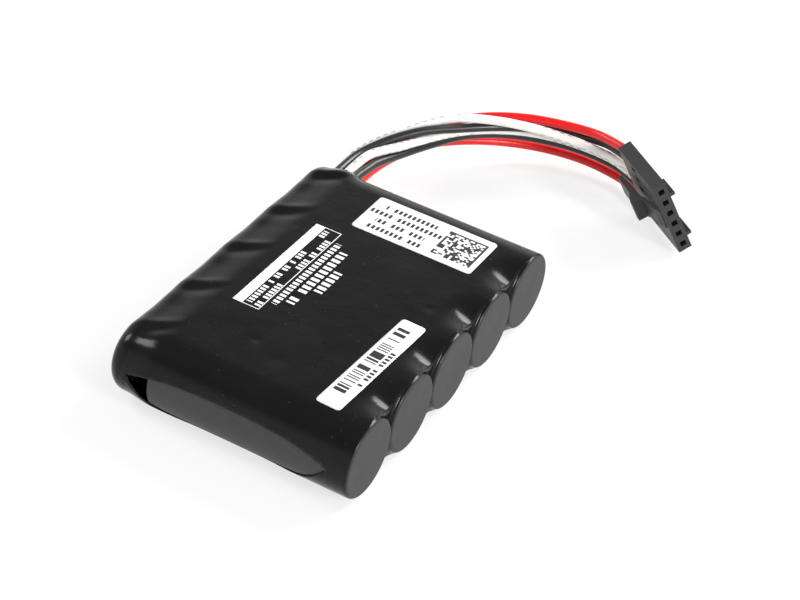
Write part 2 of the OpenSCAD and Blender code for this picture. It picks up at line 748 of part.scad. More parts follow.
// The solder that holds each wire's bare end on the board
module wire_joints() {
    bead_r = 0.7;
    color("silver")
        for (k = [1:WAYS])
            translate(wire_start(k))
                rotate([90, 0, 0]) {
                    cylinder(r = bead_r, h = joint_l);
                    translate([0, 0, joint_l / 2])
                        rotate([0, -90, 0])
                            cylinder(r1 = bead_r, r2 = bead_r + 0.1, h = lane_x(0) - board_in_x);
                }
}

// ---- Labels ---------------------------------------------------------------------------------

// The paper of the label that carries the square code
module code_label() {
    from_disc = 17.55;                     // middle of the label, from the closed ends
    from_row = 5;                          // and from the last cell's axis
    color("white")
        translate([disc_x - from_disc, last_y - from_row, top_z])
            linear_extrude(label_t)
                plate([code_label_l, code_label_w], label_corner_r);
}

// The paper of the label that carries the bar code
module bar_label() {
    from_disc = 7.45;
    from_row = 12.2;
    color("white")
        translate([disc_x - from_disc, first_y + from_row, top_z])
            rotate([0, 0, bar_label_turn])
                linear_extrude(label_t)
                    plate([bar_label_w, bar_label_l], label_corner_r);
}

shrink_sleeve();
for (k = [1:CELLS]) {
    can(k);
    wrap(k);
    winding(k);
    seal(k);
    pins(k);
}
balance_board();
balance_resistors();
memory_chip();
bypass_capacitors();
pin_joints();
wire_joints();
insulating_strip();
wire(1, "red");  // wire_red_1
wire(2, "black");  // wire_black_1
wire(3, "white");  // wire_white_1
wire(4, "white");  // wire_white_2
wire(5, "black");  // wire_black_2
wire(6, "red");  // wire_red_2
plug_housing();
plug_contacts();
code_label();
bar_label();
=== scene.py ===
# %% [markdown]
# # Capacitor backup module
# Five round capacitors lie side by side in one black heat-shrink sleeve, and a short six-wire
# lead ends in a locking plug. The solids come from the CAD model. This lesson dresses them:
# the film gets its sags and creases, the wires their insulation, the labels their print.

# %% Load the frame
import math
import bmesh
import bpy
from mathutils import Matrix, Vector


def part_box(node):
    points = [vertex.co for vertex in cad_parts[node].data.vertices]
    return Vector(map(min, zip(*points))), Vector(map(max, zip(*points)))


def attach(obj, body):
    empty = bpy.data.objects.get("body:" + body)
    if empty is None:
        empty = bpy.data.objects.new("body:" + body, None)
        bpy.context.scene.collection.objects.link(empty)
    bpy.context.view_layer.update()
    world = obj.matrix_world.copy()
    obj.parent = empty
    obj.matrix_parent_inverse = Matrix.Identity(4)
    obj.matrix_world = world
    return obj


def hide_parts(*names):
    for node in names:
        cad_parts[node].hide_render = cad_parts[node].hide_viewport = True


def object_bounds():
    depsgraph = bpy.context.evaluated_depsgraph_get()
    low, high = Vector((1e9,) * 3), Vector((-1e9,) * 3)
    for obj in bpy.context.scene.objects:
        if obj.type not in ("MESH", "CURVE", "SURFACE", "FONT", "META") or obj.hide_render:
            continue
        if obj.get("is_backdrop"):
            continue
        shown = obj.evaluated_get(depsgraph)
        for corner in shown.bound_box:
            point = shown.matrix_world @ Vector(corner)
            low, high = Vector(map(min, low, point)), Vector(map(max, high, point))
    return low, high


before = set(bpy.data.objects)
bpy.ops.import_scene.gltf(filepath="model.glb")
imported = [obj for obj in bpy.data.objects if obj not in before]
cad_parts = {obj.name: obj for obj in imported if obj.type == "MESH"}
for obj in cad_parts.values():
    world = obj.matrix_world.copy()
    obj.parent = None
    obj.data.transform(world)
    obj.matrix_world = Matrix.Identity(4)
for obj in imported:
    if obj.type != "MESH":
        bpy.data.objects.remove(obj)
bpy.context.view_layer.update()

MM = 0.001

# %% [markdown]
# ## Camera
# A small object is shot with a long lens from some way off, so that its edges stay nearly
# parallel. The camera stands to the right of the disc ends, looks down steeply and is rolled
# a little. Its three axes are worked out from two angles and the roll, which is easier to
# adjust than a rotation in three numbers.

# %% Camera
def set_camera(azimuth, elevation, roll, aim, distance, lens):
    a, e, t = (math.radians(v) for v in (azimuth, elevation, roll))
    ahead = Vector((-math.sin(a) * math.cos(e), math.cos(a) * math.cos(e), -math.sin(e)))
    level = Vector((math.cos(a), math.sin(a), 0))
    upright = level.cross(ahead)
    right = math.cos(t) * level + math.sin(t) * upright
    up = math.cos(t) * upright - math.sin(t) * level
    data = bpy.data.cameras.new("studio_camera")
    data.lens, data.sensor_width = lens, 36
    data.clip_start, data.clip_end = 0.01, 50
    camera = bpy.data.objects.new("studio_camera", data)
    bpy.context.scene.collection.objects.link(camera)
    turn = Matrix((right, up, -ahead)).transposed().to_4x4()
    camera.matrix_world = Matrix.Translation(aim - ahead * distance) @ turn
    bpy.context.scene.camera = camera
    return camera


AIM = Vector((5.92, 10.89, 6.6)) * MM
camera = set_camera(azimuth=25.78, elevation=37.10, roll=7.00, aim=AIM, distance=377.06 * MM, lens=104.93)
print("the camera stands at", [round(c / MM) for c in camera.location], "mm")

# %% [markdown]
# ## Lead
# The lead is six single wires with soft insulation, 1.6 mm thick. Each leaves the board, comes
# out through a gap in the film, bends round in a loose bundle and enters the plug. A wire could
# be a swept mesh, but a curve with a round bevel follows its own centreline exactly and can be
# bent again later, so curves are used. Each wire is two curves that meet with the same
# direction where it leaves the film: the free part outside, and its hidden start inside.

# %% Routes of the wires
ROUTES = {
    "red_1": [
        (-17.3, 31.5, 8.1), (-18.1, 38.4, 7.8), (-17.4, 45.4, 7.7), (-15.1, 52, 8.2),
        (-11.6, 57.9, 9.5), (-6.4, 62.4, 10.5), (-0.1, 65.5, 11.2), (6.7, 67.1, 11.7), (13.6, 67.2, 12.3)],
    "black_1": [
        (-18.9, 31.5, 9.8), (-18.9, 38.4, 9.8), (-16.5, 44.9, 10.4), (-12.9, 50.9, 10.7),
        (-8.8, 56.4, 10.1), (-4.2, 61.7, 9.6), (1.3, 65.9, 9.4), (7.8, 68.3, 9.6), (14.7, 68.6, 10.2)],
    "white_1": [
        (-18.9, 31.5, 8.1), (-20.5, 38.4, 8.3), (-18.9, 45.2, 9), (-15.2, 51.1, 10.1),
        (-10.6, 56.4, 11.4), (-4.8, 60.4, 11.5), (1.5, 63.6, 10.9), (8.1, 66.1, 9.9), (14.9, 67.6, 8.7)],
    "white_2": [
        (-17.3, 31.5, 9.8), (-16.9, 38.6, 10.4), (-14.4, 45.4, 9.7), (-12.1, 52.2, 8.9),
        (-8.8, 58.6, 8.4), (-3.8, 63.8, 8.1), (2.2, 67.8, 7.5), (9, 70.1, 6.8), (16.1, 70.3, 6.3)],
    "black_2": [
        (-15.6, 31.5, 9.8), (-15.6, 38.9, 9), (-14.4, 46.2, 7.7), (-12.2, 53.3, 7), (-8.8, 60, 6.8),
        (-3.8, 65.6, 6.2), (2.4, 69.6, 5.4), (9.5, 71.9, 4.7), (16.9, 71.6, 4.2)],
    "red_2": [
        (-15.6, 31.5, 8.1), (-16.2, 39.2, 7.2), (-15.7, 46.9, 6.4), (-13.5, 54.4, 5.8),
        (-9.6, 61, 4.8), (-4.2, 66.6, 3.8), (2.3, 70.7, 2.9), (9.7, 72.8, 2.2), (17.4, 72.4, 1.6)],
}
# where each wire lies inside the film: its column off the board and its row
SLOTS = {"red_1": (1, 0), "black_1": (0, 1), "white_1": (0, 0),
         "white_2": (1, 1), "black_2": (2, 1), "red_2": (2, 0)}
WIRE_D = 1.6
PLUG_CORNER = Vector((18.8, 63.3, 13.853))
ALONG, ACROSS, THROUGH = (Vector(v).normalized() for v in (
    (0.765, -0.642, 0.052), (0.337, 0.330, -0.882), (0.549, 0.692, 0.469)))
WAY_PITCH, FIRST_WAY, PLUG_T, WIRE_IN_PLUG = 2.54, 1.5, 2.5, 2.2
# inside the film: the first slot off the board, the slots' pitch, and how fast a wire changes lanes
SLOT_X, SLOT_Z, SLOT_PITCH, LANE_RUN = -18.1, 6.6 + 1.5, 1.65, 4.6
JOINT_Y, JOINT_STEP, LANES_END = 25.6 - 0.6, 7.5, 28


def in_plug(x, y, z):
    """A point of the plug's own frame: along it, down its row of contacts, and through it."""
    return PLUG_CORNER + ALONG * x + ACROSS * y + THROUGH * z


def way_at(k):
    return FIRST_WAY + WAY_PITCH * k


def hidden_start(name):
    column, row = SLOTS[name]
    z = SLOT_Z + SLOT_PITCH * row
    start = JOINT_Y - JOINT_STEP * column
    bends = [(SLOT_X + SLOT_PITCH * step, start + LANE_RUN * step, z) for step in range(1, column + 1)]
    last = (SLOT_X + SLOT_PITCH * column, LANES_END, z)
    return [Vector(p) for p in [(SLOT_X, start, z), *bends, last]]


paths, joins = {}, {}
for k, (name, route) in enumerate(ROUTES.items()):
    hidden = hidden_start(name)
    ends = [in_plug(x, way_at(k), PLUG_T / 2) for x in (-0.01, WIRE_IN_PLUG)]
    paths[name] = hidden + [Vector(p) for p in route] + ends
    joins[name] = len(hidden)
print("wires:", ", ".join(paths))

# %% Wires as curves
def smooth_wire(title, points, before=None, after=None):
    """A round wire through points. before and after are its neighbours beyond the two ends."""
    line = [before or points[0], *points, after or points[-1]]
    knots = []
    for i in range(1, len(line) - 1):
        last, here, following = line[i - 1], line[i], line[i + 1]
        heading = (following - last).normalized()
        knots.append((here - heading * (here - last).length / 3, here,
                      here + heading * (following - here).length / 3))
    data = bpy.data.curves.new(title, "CURVE")
    data.dimensions = "3D"
    # the thickness is on the points, because a curve's box grows by its points' radius
    data.bevel_depth, data.bevel_resolution, data.resolution_u = 1, 5, 8
    data.use_fill_caps = True
    spline = data.splines.new("BEZIER")
    spline.bezier_points.add(len(knots) - 1)
    for knot, (left, here, right) in zip(spline.bezier_points, knots):
        knot.handle_left, knot.co, knot.handle_right = left * MM, here * MM, right * MM
        knot.radius = WIRE_D / 2 * MM
    wire = bpy.data.objects.new(title, data)
    bpy.context.scene.collection.objects.link(wire)
    return wire


def midpoints_added(points):
    """The same path with a point half way along each smooth stretch, for an even curve."""
    fine = []
    for i in range(len(points) - 1):
        a, b, c, d = (points[min(max(i + j, 0), len(points) - 1)] for j in (-1, 0, 1, 2))
        fine += [b, (b + c) * 0.5625 - (a + d) * 0.0625]
    return fine + [points[-1]]


wires = {}
for name, path in paths.items():
    join = joins[name]
    free = midpoints_added(path[join:])
    wire = smooth_wire("lead_" + name, free, before=path[join - 1])
    tail = smooth_wire("lead_start_" + name, path[:join + 1], after=free[1])
    wires[name] = (wire, tail)
    length = sum((b - a).length for a, b in zip(free, free[1:]))
    print(name, len(free), "points,", round(length, 1), "mm")

# %% [markdown]
# Both curves of a wire ride on the one body. Together they replace the plainer solid of the CAD
# model, and later they take the finish of its colour.

# %% Place the lead
for name, (wire, tail) in wires.items():
    for piece in (wire, tail):
        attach(piece, "root")
        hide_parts("wire_" + name)
        "wire_" + name.split("_")[0]
print("placed", len(wires), "wires")

# %% [markdown]
# ## Shader arithmetic
# A material is a small calculation at each point of a surface. Written as node links it is
# hard to read, so a number from a node is wrapped, and ordinary arithmetic on it adds the
# Math nodes. Everything else comes from one method that makes any node.

# %% Finishes as expressions
class Amount:
    """A node's output in a finish. Arithmetic on it adds Math nodes."""

    def __init__(self, finish, socket):
        self.finish, self.socket = finish, socket

    def maths(self, operation, *values):
        return self.finish.node("Math", {"operation": operation}, *values)

    def __add__(self, other):
        return self.maths("ADD", self, other)

    def __sub__(self, other):
        return self.maths("SUBTRACT", self, other)

    def __rsub__(self, other):
        return self.maths("SUBTRACT", other, self)

    def __mul__(self, other):
        return self.maths("MULTIPLY", self, other)

    def __truediv__(self, other):
        return self.maths("DIVIDE", self, other)

    def __lt__(self, other):
        return self.maths("LESS_THAN", self, other)

    def __gt__(self, other):
        return self.maths("GREATER_THAN", self, other)

    __radd__ = __add__
    __rmul__ = __mul__

    def size(self):
        return self.maths("ABSOLUTE", self)

    def whole(self):
        return self.maths("FLOOR", self)

    def part(self):
        return self.maths("FRACT", self)

    def most(self, other):
        return self.maths("MAXIMUM", self, other)


def with_alpha(value):
    """A colour of three numbers gets its fourth. Anything else stays as it is."""
    return (*value, 1) if isinstance(value, tuple) and len(value) == 3 else value


class Finish:
    """A procedural material round one Principled shader."""

    def __init__(self, name, **fixed):
        self.material = bpy.data.materials.new(name)
        self.material.use_nodes = True
        self.tree = self.material.node_tree
        self.shader = next(n for n in self.tree.nodes if n.type == "BSDF_PRINCIPLED")
        for socket, value in fixed.items():
            self.shader.inputs[socket.replace("_", " ")].default_value = value

    def node(self, kind, settings, *values, out=0, **named):
        """Adds a node: its settings first, then what its sockets hold or link to."""
        made = self.tree.nodes.new("ShaderNode" + kind)
        for key, value in settings.items():
            if key == "stops":
                ramp = made.color_ramp.elements
                for i, (place, colour) in enumerate(value):
                    stop = ramp[i] if i < 2 else ramp.new(place)
                    stop.position, stop.color = place, (*colour, 1)
            else:
                setattr(made, key, value)
        for key, value in [*enumerate(values), *named.items()]:
            self.feed(made.inputs[key if isinstance(key, int) else key.replace("_", " ")], value)
        return Amount(self, made.outputs[out])

    def feed(self, socket, value):
        if isinstance(value, Amount):
            self.tree.links.new(value.socket, socket)
        elif value is not None:
            socket.default_value = value

    def place(self, centre=(0, 0, 0), turn=0):
        """Object coordinates in millimetres, centred and turned about +Z."""
        at = self.node("TexCoord", {}, out="Object")
        return self.node("Mapping", {"vector_type": "TEXTURE"}, Vector=at,
                         Location=[c * MM for c in centre], Rotation=(0, 0, math.radians(turn)),
                         Scale=[MM] * 3)

    def axes(self, vector):
        parts = self.node("SeparateXYZ", {}, vector)
        return [Amount(self, parts.socket.node.outputs[i]) for i in range(3)]

    def noise(self, vector, scale, detail=2, roughness=0.5):
        return self.node("TexNoise", {}, Vector=vector, Scale=scale, Detail=detail,
                         Roughness=roughness)

    def chance(self, number):
        """A random value from 0 to 1 that is the same wherever number is the same."""
        return self.node("TexWhiteNoise", {"noise_dimensions": "1D"}, W=number)

    def blend(self, share, one, other):
        """Colour one where share is 0 and the other where it is 1."""
        made = self.node("Mix", {"data_type": "RGBA"}, out=2)
        sockets = made.socket.node.inputs
        for index, value in ((0, share), (6, one), (7, other)):
            self.feed(sockets[index], with_alpha(value))
        return made

    def step(self, value, low, high):
        """0 below low, 1 above high, and a smooth rise between them."""
        rise = {"interpolation_type": "SMOOTHSTEP"}
        return self.node("MapRange", rise, value, low, high, 0.0, 1.0)

    def set(self, **sockets):
        for key, value in sockets.items():
            self.feed(self.shader.inputs[key.replace("_", " ")], with_alpha(value))
        return self

    def bump(self, height, distance):
        """A height of 1 stands distance millimetres out of the surface."""
        bumped = self.node("Bump", {}, Strength=1.0, Distance=distance * MM, Height=height)
        self.set(Normal=bumped)
        return self


def dress(piece, finish):
    piece.data.materials.clear()
    piece.data.materials.append(finish.material)


print("finishes are written as expressions")

# %% [markdown]
# ## Wire insulation
# The insulation is extruded soft plastic: even in colour, satin, with a faint waviness and
# some dull rubbed stretches. A noise along the wire moves the roughness and the bump a
# little. The white wires carry a worn inkjet legend, which is kept as plain ticks here.

# %% Wire insulation
def insulation(title, colour, roughness, ticks=None):
    finish = Finish(title, IOR=1.48)
    at = finish.place()
    rub = finish.noise(at, 0.22, 3)
    fine = finish.noise(at, 1.3, 2)
    darker = tuple(c * 0.86 for c in colour)
    lighter = tuple(min(1, c * 1.08) for c in colour)
    shade = finish.blend(rub, darker, lighter)
    if ticks:
        along, around, _ = finish.axes(finish.node("TexCoord", {}, out="UV"))
        letter = along * ticks
        cell = finish.chance(letter.whole())
        word = finish.chance((letter / 7).whole() + 0.37)
        band = ((around * 3).part() - 0.5).size() < 0.09
        ink = band * ((letter.part() - 0.4).size() < 0.26) * (cell > 0.2) * (word > 0.35)
        shade = finish.blend(ink * 0.62, shade, (0.07, 0.07, 0.08))
    finish.set(Base_Color=shade, Roughness=rub * 0.16 + roughness)
    return finish.bump(fine * 0.6 + rub, 0.05)


skins = {
    "red": insulation("red_insulation", (0.72, 0.004, 0.004), 0.26),
    "black": insulation("black_insulation", (0.012, 0.012, 0.013), 0.24),
    "white": insulation("white_insulation", (0.86, 0.84, 0.8), 0.3, ticks=46),
}
for name, parts in wires.items():
    for piece in parts:
        dress(piece, skins[name.split("_")[0]])
print("insulation:", ", ".join(skins))

# %% [markdown]
# ## Shrink sleeve
# The sleeve starts as a flat tube of film. Hot air shrinks it until it bridges the cells on
# top, hugs their closed ends, and closes round the two outer cells as far as an eye-shaped
# opening on each side. It could be sculpted by hand or shrunk by a cloth simulation. Here a
# flat grid is laid on the shape by rule, because the same rule then gives the height on which
# the labels lie. Sizes come from the solids that it covers.

# %% Sizes of the film
film_low, film_high = (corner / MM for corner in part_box("shrink_sleeve"))
FILM_T = 0.2
film_r = (film_high.z - film_low.z) / 2
disc_x, lead_x = film_high.x, film_low.x
last_y = film_high.y - film_r
cells = []
for k in range(1, 6):
    low, high = (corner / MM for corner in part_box(f"can_{k}"))
    cells.append((low.y + high.y) / 2)
pitch = cells[1] - cells[0]
seal_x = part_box("can_1")[0].x / MM
board_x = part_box("balance_board")[1].x / MM
print("film radius", round(film_r, 2), "cell pitch", round(pitch, 2), "mm")


# %% Shape of the film
# how deep the valleys sink at the disc end and at the lead end, and how far each sag reaches
DISC_SAG, DISC_SAG_L, LEAD_SAG, LEAD_SAG_L = 2.2, 6.5, 0.5, 8
# the round edges at both ends, the webs' depth between two discs, and the draw-in round the board
DISC_EDGE, LEAD_EDGE, WEB_DEPTH, DRAW_IN, DRAW_GAP = 0.6, 2.4, 0.8, 0.5, 0.25
LOBE_SHARP = 3.4
# the disc's edge is round up to this share of it, where it falls at this slope, and then eases off
ROUND_SHARE, ROUND_SLOPE = 0.95, 3.04


def eased(t):
    t = min(max(t, 0), 1)
    return t * t * (3 - 2 * t)


def lobe(y):
    """0 on a cell's crest, 1 half way to the next cell."""
    return 0 if abs(y) > last_y else abs(math.sin(math.pi * (y - cells[0]) / pitch)) ** LOBE_SHARP


def sag(x):
    disc, lead = ((disc_x - x) / DISC_SAG_L, (x - lead_x) / LEAD_SAG_L)
    return DISC_SAG * max(0, 1 - disc) ** 2 + LEAD_SAG * max(0, 1 - max(0, lead)) ** 2


def radius_at(x):
    start = seal_x - DRAW_GAP
    return film_r - DRAW_IN * eased((start - x) / (start - board_x))


def top_at(x, y):
    """Height of the film's upper side above the axes, between the first and the last crest."""
    return radius_at(x) - sag(x) * lobe(y)


def disc_fall(r):
    """How far the film has fallen back from the disc's face at distance r from the axis."""
    t = (r - film_r + DISC_EDGE) / DISC_EDGE
    if t <= 0:
        return 0
    if t < ROUND_SHARE:
        return DISC_EDGE * (1 - math.sqrt(1 - t * t))
    start = DISC_EDGE * (1 - math.sqrt(1 - ROUND_SHARE ** 2))
    rest = WEB_DEPTH - start
    return start + rest * (1 - math.exp(-(t - ROUND_SHARE) * DISC_EDGE * ROUND_SLOPE / rest))


print("the valleys sink to", round(top_at(disc_x - WEB_DEPTH, pitch / 2), 2), "mm above the axes")

# %% [markdown]
# One closed outline round the row gives the columns of every grid, so that the grids meet
# point to point: the outline's points lie closer together in the valleys than on the crests.

# %% Outline round the row
QUARTER, HALF_LOBE = 24, 13
web_x = disc_x - WEB_DEPTH
valley_z = top_at(web_x, cells[0] + pitch / 2)


def half_lobe():
    """Points from a crest to the middle of the valley beside it, as (off the crest, height)."""
    offs = [pitch / 2 * math.sin(math.pi / 2 * j / HALF_LOBE) for j in range(HALF_LOBE + 1)]
    return [(y, film_r - sag(web_x) * lobe(cells[0] + y)) for y in offs]


def end_arc(side):
    """Points over the outer half of an end cell, from the bottom crest round to the top crest."""
    return [(side * film_r * math.cos(a), film_r * math.sin(a))
            for a in (math.pi * (j / (2 * QUARTER) - 0.5) for j in range(2 * QUARTER + 1))]


outline = [(cells[0] + y, z) for y, z in end_arc(-1)]
to_valley = half_lobe()
for k in range(len(cells) - 1):
    outline += [(cells[k] + y, z) for y, z in to_valley[1:]]
    outline += [(cells[k + 1] - y, z) for y, z in reversed(to_valley[:-1])]
outline += [(cells[-1] + y, z) for y, z in reversed(end_arc(1)[:-1])]
over = [p for p in outline if p[1] > 0 and abs(p[0]) < last_y - 1e-6]
outline += [(y, -z) for y, z in reversed(over)]
print(len(outline), "columns round the row")


# %% Grids of the film
def laid_grid(shape, columns, rows, place):
    """A flat grid whose point (i, j) is laid at place(i, j)."""
    made = bmesh.ops.create_grid(shape, x_segments=columns, y_segments=rows, size=0.5)
    for v in made["verts"]:
        v.co = place(round((v.co.x + 0.5) * columns), round((v.co.y + 0.5) * rows))
    return made["verts"]


# where the lead lifts the lip, how far to each side of it, and how high
LIFT_X, LIFT_REACH, LIFT = lead_x + 4.9, 4.6, 0.9


def lifted(x, y, z):
    """The lead lifts the upper lip of the film where it leaves."""
    t = abs(x - LIFT_X) / LIFT_REACH
    if y <= last_y or z <= 0 or t >= 1:
        return y, z
    share = z / math.hypot(y - last_y, z)
    bulge = 2 * share * math.sqrt(max(0, 1 - share ** 2))
    more = LIFT * math.cos(math.pi / 2 * t) ** 2 * bulge
    return y + more / film_r * (y - last_y), z + more / film_r * z


# rows along the wall, and the share of their spacing that draws them towards its two ends
STATIONS, DRAWN = 84, 0.28
lead_ring_x = lead_x + LEAD_EDGE


def ring_x(y, z):
    """Where the side wall ends at the disc end, for a point of the outline."""
    near = min(cells, key=lambda c: abs(c - y))
    return disc_x - disc_fall(math.hypot(y - near, z))


def wall(i, j):
    y, z = outline[i % len(outline)]
    share = j / STATIONS
    share = (1 - DRAWN) * share + DRAWN * math.sin(math.pi / 2 * share) ** 2
    x = lead_ring_x + share * (ring_x(y, z) - lead_ring_x)
    if abs(y) <= last_y + 1e-6:
        return Vector((x, y, math.copysign(top_at(x, y), z)))
    grow = radius_at(x) / film_r
    middle = math.copysign(last_y, y)
    y, z = lifted(x, middle + (y - middle) * grow, z * grow)
    return Vector((x, y, z))


EDGE_ROWS, FLAT_ROWS = 8, 7


def lead_face(i, j):
    y, z = outline[i % len(outline)]
    middle = min(max(y, -last_y), last_y)
    big = radius_at(lead_ring_x)
    if abs(y) <= last_y + 1e-6:
        z = top_at(lead_ring_x, y) * (1 if z > 0 else -1)
    else:
        y, z = lifted(lead_ring_x, middle + (y - middle) * big / film_r, z * big / film_r)
    if j <= EDGE_ROWS:
        b = math.pi / 2 * j / EDGE_ROWS
        share = 1 - LEAD_EDGE * (1 - math.cos(b)) / big
        x = lead_ring_x - LEAD_EDGE * math.sin(b)
    else:
        share = (1 - LEAD_EDGE / big) * (1 - (j - EDGE_ROWS) / FLAT_ROWS)
        x = lead_x
    return Vector((x, middle + (y - middle) * share, z * share))


film = bmesh.new()
laid_grid(film, len(outline), STATIONS, wall)
laid_grid(film, len(outline), EDGE_ROWS + FLAT_ROWS, lead_face)
print("wall and lead end:", len(film.verts), "points")

# %% [markdown]
# Each disc is a polar grid about its own cell, so that its rows run along the round edge and
# the highlight there stays clean. Past the edge they go on into the web between two cells.

# %% Disc faces
RINGS = [0, 0.35, 0.6, 0.76, 0.86, 0.905, 0.925, 0.945, 0.96, 0.972, 0.982, 0.99, 0.996, 1]
WEB_ROWS, WEB_STEPS = 4, 8


def rim_of(k):
    """Points round the territory of disc k, about its axis."""
    towards_web = [(pitch / 2, valley_z * j / WEB_STEPS) for j in range(WEB_STEPS)] + half_lobe()[::-1]
    round_end = [(y, z) for y, z in end_arc(1) if z >= -1e-9]
    right = round_end if k == len(cells) - 1 else towards_web
    left = round_end if k == 0 else towards_web
    upper = right + [(-y, z) for y, z in reversed(left[:-1])]
    return upper + [(y, -z) for y, z in reversed(upper[1:-1])]


for k, centre in enumerate(cells):
    rim = rim_of(k)

    def disc(i, j):
        y, z = rim[i % len(rim)]
        reach = math.hypot(y, z)
        if j < len(RINGS):
            r = min(RINGS[j] * film_r, reach)
        else:
            r = min(film_r, reach)
            r += (reach - r) * (j - len(RINGS) + 1) / WEB_ROWS
        return Vector((disc_x - disc_fall(r), centre + y * r / reach, z * r / reach))

    laid_grid(film, len(rim), len(RINGS) + WEB_ROWS - 1, disc)
bmesh.ops.remove_doubles(film, verts=film.verts, dist=0.004)
bmesh.ops.dissolve_degenerate(film, edges=film.edges, dist=0.002)
bmesh.ops.recalc_face_normals(film, faces=film.faces)
# hairline seams stay open on the valleys' shoulders, where the wall and the rims part a little
seams = sum(e.is_boundary for e in film.edges)
print("film before its openings:", len(film.faces), "faces,", seams, "open edges")

# %% [markdown]
# The tube's two open ends close in round the outer cells as far as a long eye. The faces inside
# that outline are deleted, and the edge that is left is drawn onto the outline, which gives a
# clean lip without cutting through the grid. The gap that the lead leaves by joins the eye.

# %% Openings
AXIS_Z = film_r
EYE_L, EYE_RISE, EYE_DROP, EYE_CORNER = 36, 2.1, 6.3, 0.7
GAP_X, GAP_REACH, GAP_LOW, GAP_HIGH = lead_x + 4.2, 3.1, 0.7, 4.3
FLANK = last_y + 2


def in_eye(x, z):
    u = abs(x) / (EYE_L / 2)
    if u >= 1:
        return False
    return EYE_CORNER - EYE_DROP * (1 - u ** 4) < z < EYE_CORNER + EYE_RISE * (1 - u ** 3.2)


def in_gap(x, z):
    return abs(x - GAP_X) < GAP_REACH and GAP_LOW < z < GAP_HIGH


def open_at(point):
    side = abs(point.y) > FLANK
    return side and (in_eye(point.x, point.z) or (point.y > 0 and in_gap(point.x, point.z)))


gone = [f for f in film.faces if open_at(f.calc_center_median())]
bmesh.ops.delete(film, geom=gone, context="FACES")


SEARCH_WAYS, SEARCH_STEPS, SEARCH_STEP = 16, 12, 0.05


def draw_to_edge(v):
    """Moves a lip point in or out along the flank until it lies on the outline."""
    middle = math.copysign(last_y, v.co.y)
    r = math.hypot(v.co.y - middle, v.co.z)
    a = math.atan2(v.co.z, abs(v.co.y - middle))
    best = None
    for n in range(SEARCH_WAYS):
        turn = 2 * math.pi * n / SEARCH_WAYS
        for step in range(1, SEARCH_STEPS):
            x = v.co.x + SEARCH_STEP * step * math.cos(turn)
            b = a + SEARCH_STEP * step * math.sin(turn) / r
            flank = Vector((x, middle + math.copysign(r * math.cos(b), middle), r * math.sin(b)))
            if open_at(flank) != open_at(v.co):
                if best is None or step < best[0]:
                    best = (step, flank)
                break
    if best:
        v.co = best[1]


lip = [v for v in film.verts if v.is_boundary]
for v in lip:
    draw_to_edge(v)
for _ in range(2):
    bmesh.ops.smooth_vert(film, verts=lip, factor=0.3,
                          use_axis_x=True, use_axis_y=True, use_axis_z=True)
print("lip points:", len(lip))

# %% [markdown]
# The creases of the real film come from its shrinking: a short ridge runs in from the board's
# edge on each cell's crest, the ends of the eyes are crumpled, and the top has shallow dents.

# %% Creases and dents
RIDGE_L, RIDGE_DRIFT, RIDGE_H, HOLLOW_D = 8, 3.6, 0.28, 0.2
DENT_D = 0.09
DENTS = ((-3.2, -19, 0.8), (14.5, 4, 0.7), (2.2, -21, 1.6))
CRUMPLE_X, CRUMPLE_H = 18.6, 0.16
TOP_FROM = 3


def crease(x, y, z):
    """How far the film stands out of its smooth form at a point."""
    out = 0
    if z > TOP_FROM:
        t = (x - lead_x) / RIDGE_L
        for centre in cells:
            if 0 < t < 1:
                drift = y - centre - RIDGE_DRIFT * t ** 1.5
                out += RIDGE_H * math.sin(math.pi * t) * math.exp(-(drift / 1.1) ** 2)
                out -= HOLLOW_D * math.sin(math.pi * t) * math.exp(-((drift + 2.1) / 1.4) ** 2)
        for cx, cy, w in DENTS:
            out -= DENT_D * math.exp(-((x - cx) ** 2 + (y - cy) ** 2) / w ** 2)
    if abs(y) > FLANK:
        for end in (-1, 1):
            near = math.exp(-((x - end * CRUMPLE_X) / 1.6) ** 2 - ((z - 0.5) / 2.6) ** 2)
            out += CRUMPLE_H * near * math.sin(x * 4.1 + z * 2.3) * math.sin(z * 3.1 - x)
    return out


RIDGE_ROOM = 0.15
film.normal_update()
moves = [(v, v.normal * crease(*v.co)) for v in film.verts]
for v, move in moves:
    v.co += move
    v.co.z += AXIS_Z
for v in film.verts:
    v.co.z = min(max(v.co.z, 0), 2 * film_r + RIDGE_ROOM)
bmesh.ops.scale(film, vec=(MM, MM, MM), verts=film.verts)


def finished(title, shape, node_name=None, smooth=True):
    """Turns a bmesh into a piece that rides on the one body."""
    mesh = bpy.data.meshes.new(title)
    shape.to_mesh(mesh)
    shape.free()
    for polygon in mesh.polygons:
        polygon.use_smooth = smooth
    piece = bpy.data.objects.new(title, mesh)
    bpy.context.scene.collection.objects.link(piece)
    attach(piece, "root")
    if node_name:
        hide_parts(node_name)
    return piece


sleeve = finished("film_sleeve", film, "shrink_sleeve")
wall_of_film = sleeve.modifiers.new("film thickness", "SOLIDIFY")
wall_of_film.thickness, wall_of_film.offset = FILM_T * MM, -1
print("film:", len(sleeve.data.polygons), "faces")

# %% [markdown]
# ## Film finish
# Shrink film is black and semi-gloss, duller where it is stretched over the discs. White print
# Shrink film is black and semi-gloss, duller where stretching thins it over the discs. The disc
# faces are also painted a lighter grey, which is painted light where the lamps fall on them.
# White print sits on its top. The maker's words are left off, so the print is a header bar, a
# thin frame and rows of plain ticks, placed by Object coordinates so that they stay on the film.

# %% Film finish
film_finish = Finish("black_shrink_film", IOR=1.45, Specular_IOR_Level=0.22)
at = film_finish.place()
x, y, z = film_finish.axes(at)
# the disc faces: the film is duller there, and its colour gets painted light below
stretch_and_painted_light = film_finish.step(x, disc_x - 0.35, disc_x - 0.05)
print_at = film_finish.place(centre=(-7.7, 0, 0))
px, py, _ = film_finish.axes(print_at)


